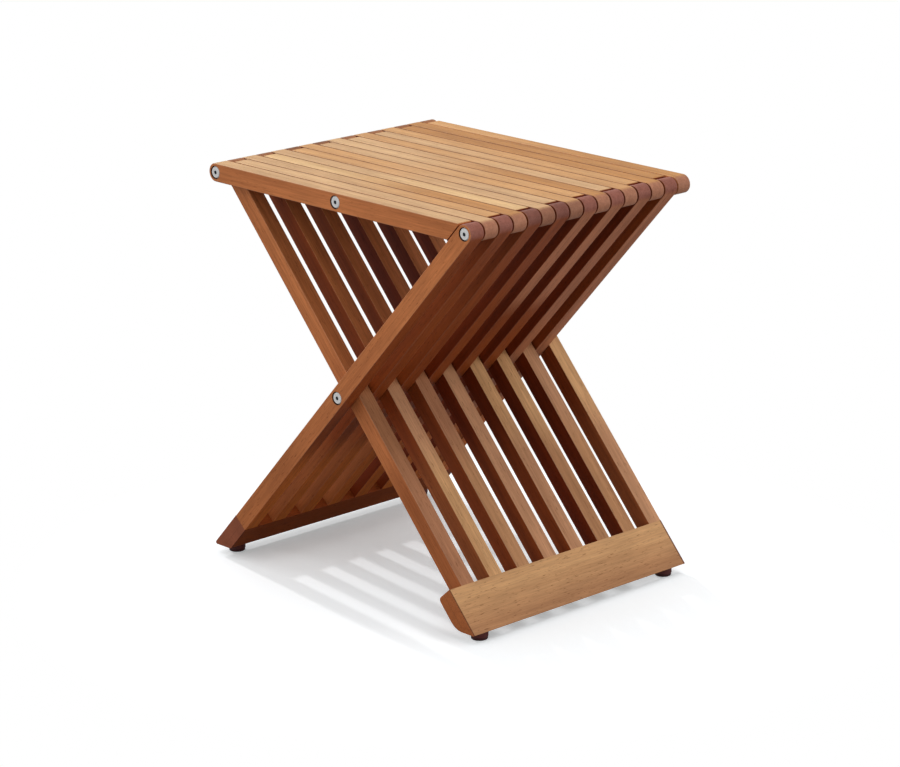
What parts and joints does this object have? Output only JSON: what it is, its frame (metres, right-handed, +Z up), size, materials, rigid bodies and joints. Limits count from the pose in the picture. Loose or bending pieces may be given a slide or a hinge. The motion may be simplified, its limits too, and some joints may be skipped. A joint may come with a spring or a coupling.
{
  "type": "folding stool",
  "caption": "Folding stool of interleaved wooden slats: crossed leg frames on foot rails and a hinged slatted seat that turn on steel axles and fold flat.",
  "frame": {"origin": "On the floor, under the middle of the seat.", "axes": "+X to the right along the seat slats, +Y from the front to the back along the axles, +Z up from the floor."},
  "size_m": [0.4129, 0.3292, 0.4502],
  "materials": {
    "wood_honey": "light honey hardwood, oiled, satin",
    "wood_amber": "orange-brown hardwood, oiled, satin",
    "wood_rust": "reddish brown hardwood, oiled, satin",
    "wood_walnut": "dark brown hardwood, oiled, satin",
    "dowel_beech": "plain beech, unfinished",
    "steel": "bright zinc-plated steel",
    "nylon": "dark nylon",
    "foot_plastic": "dark maroon plastic, semi-gloss"
  },
  "bodies": {
    "left_leg_frame": {"leg_slat_01": "wood_amber", "leg_slat_03": "wood_walnut", "leg_slat_05": "wood_walnut", "leg_slat_07": "wood_amber", "leg_slat_09": "wood_walnut", "leg_slat_11": "wood_walnut", "leg_slat_13": "wood_amber", "leg_slat_15": "wood_walnut", "foot_rail_left": "wood_honey", "foot_front_left": "foot_plastic", "foot_back_left": "foot_plastic", "foot_nails_left": "steel", "dowels_left": "dowel_beech", "right_axle": "steel", "right_axle_screws": "steel", "right_axle_washers": "nylon", "crossing_axle": "steel", "crossing_axle_screws": "steel", "crossing_axle_washers": "nylon"},
    "right_leg_frame": {"leg_slat_02": "wood_rust", "leg_slat_04": "wood_amber", "leg_slat_06": "wood_rust", "leg_slat_08": "wood_rust", "leg_slat_10": "wood_amber", "leg_slat_12": "wood_rust", "leg_slat_14": "wood_rust", "leg_slat_16": "wood_amber", "foot_rail_right": "wood_honey", "foot_front_right": "foot_plastic", "foot_back_right": "foot_plastic", "foot_nails_right": "steel", "dowels_right": "dowel_beech", "left_axle": "steel", "left_axle_screws": "steel", "left_axle_washers": "nylon"},
    "left_hung_seat": {"seat_slat_01": "wood_amber", "seat_slat_03": "wood_honey", "seat_slat_05": "wood_amber", "seat_slat_07": "wood_honey", "seat_slat_09": "wood_amber", "seat_slat_11": "wood_honey", "seat_slat_13": "wood_amber", "seat_slat_15": "wood_honey", "seat_axle_left_set": "steel", "seat_axle_front_screw": "steel", "seat_axle_washers": "nylon"},
    "right_hung_seat": {"seat_slat_02": "wood_honey", "seat_slat_04": "wood_amber", "seat_slat_06": "wood_honey", "seat_slat_08": "wood_amber", "seat_slat_10": "wood_honey", "seat_slat_12": "wood_amber", "seat_slat_14": "wood_honey", "seat_slat_16": "wood_amber", "seat_axle_right_set": "steel", "seat_axle_back_screw": "steel"}
  },
  "joints": [
    {"name": "leg_fold", "type": "hinge", "parent": "left_leg_frame", "child": "right_leg_frame", "pos_m": [0, 0, 0.2252], "axis": [0, 1, 0], "range_deg": [0, 78.8]},
    {"name": "left_seat_fold", "type": "hinge", "parent": "right_leg_frame", "child": "left_hung_seat", "pos_m": [-0.194, 0, 0.44], "axis": [0, 1, 0], "range_deg": [-125.5, 0]},
    {"name": "right_seat_fold", "type": "hinge", "parent": "left_leg_frame", "child": "right_hung_seat", "pos_m": [0.194, 0, 0.44], "axis": [0, 1, 0], "range_deg": [0, 125.5]}
  ],
  "couplings": [
    {"joint": "left_seat_fold", "follows": "leg_fold", "ratio": -1.5911},
    {"joint": "right_seat_fold", "follows": "leg_fold", "ratio": 1.5911}
  ]
}
